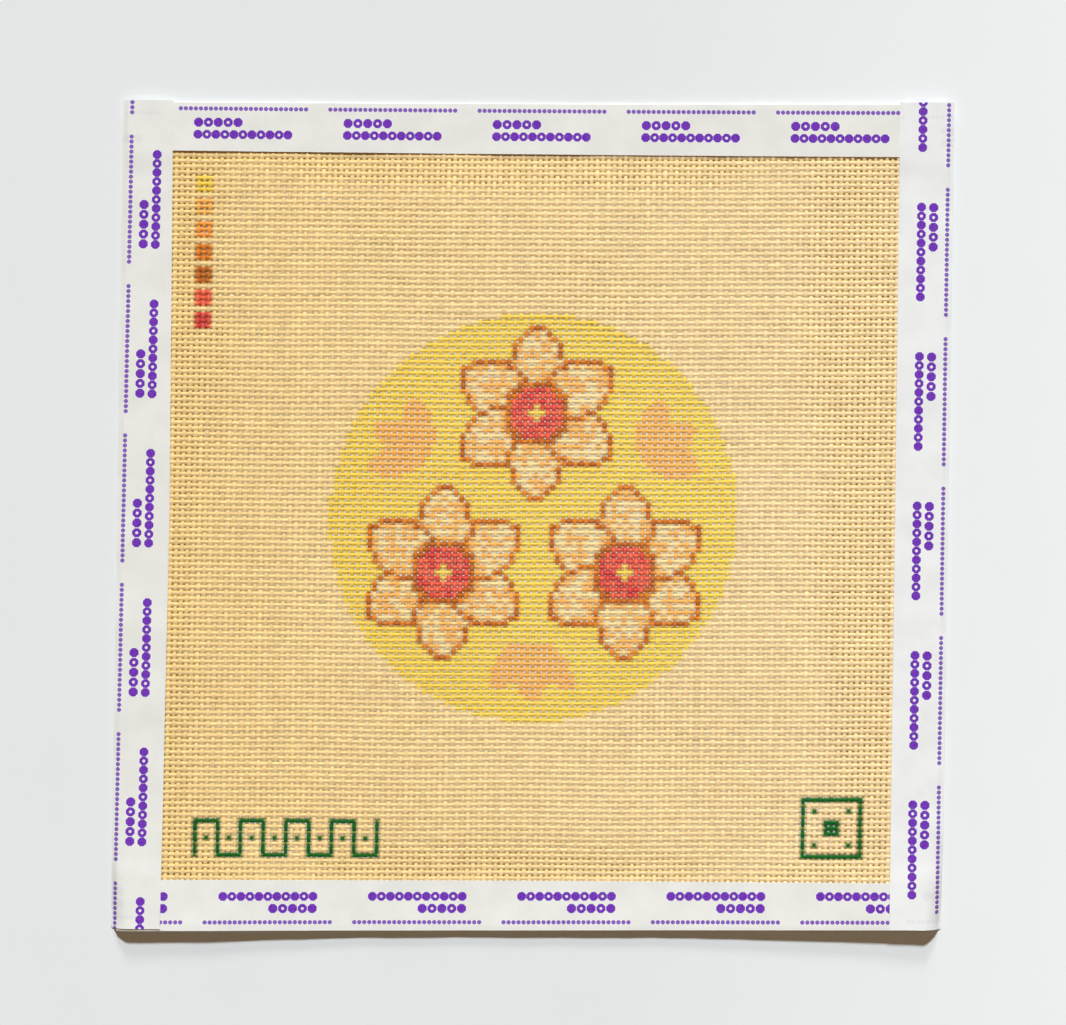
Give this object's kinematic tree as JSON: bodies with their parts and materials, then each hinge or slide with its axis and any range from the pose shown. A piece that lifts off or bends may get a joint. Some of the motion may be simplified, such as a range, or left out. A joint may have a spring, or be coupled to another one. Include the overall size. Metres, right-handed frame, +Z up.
{
  "type": "needlepoint canvas",
  "caption": "Square of painted open-weave needlepoint canvas with folded tape binding its four edges; lies flat with its sides slightly curled, ready to be stitched.",
  "frame": {"origin": "middle of the underside, on the surface the canvas lies on", "axes": "+X to the right edge, +Y to the top edge, +Z up out of the painted face"},
  "size_m": [0.2089, 0.2062, 0.0035],
  "materials": {
    "canvas": "stiff sized cotton threads in an open weave, painted in the middle",
    "tape": "white adhesive tape with a faint crepe and a purple printed border"
  },
  "bodies": {
    "root": {"canvas": "canvas", "tape_top": "tape", "tape_bottom": "tape", "tape_left": "tape", "tape_right": "tape"}
  },
  "joints": []
}
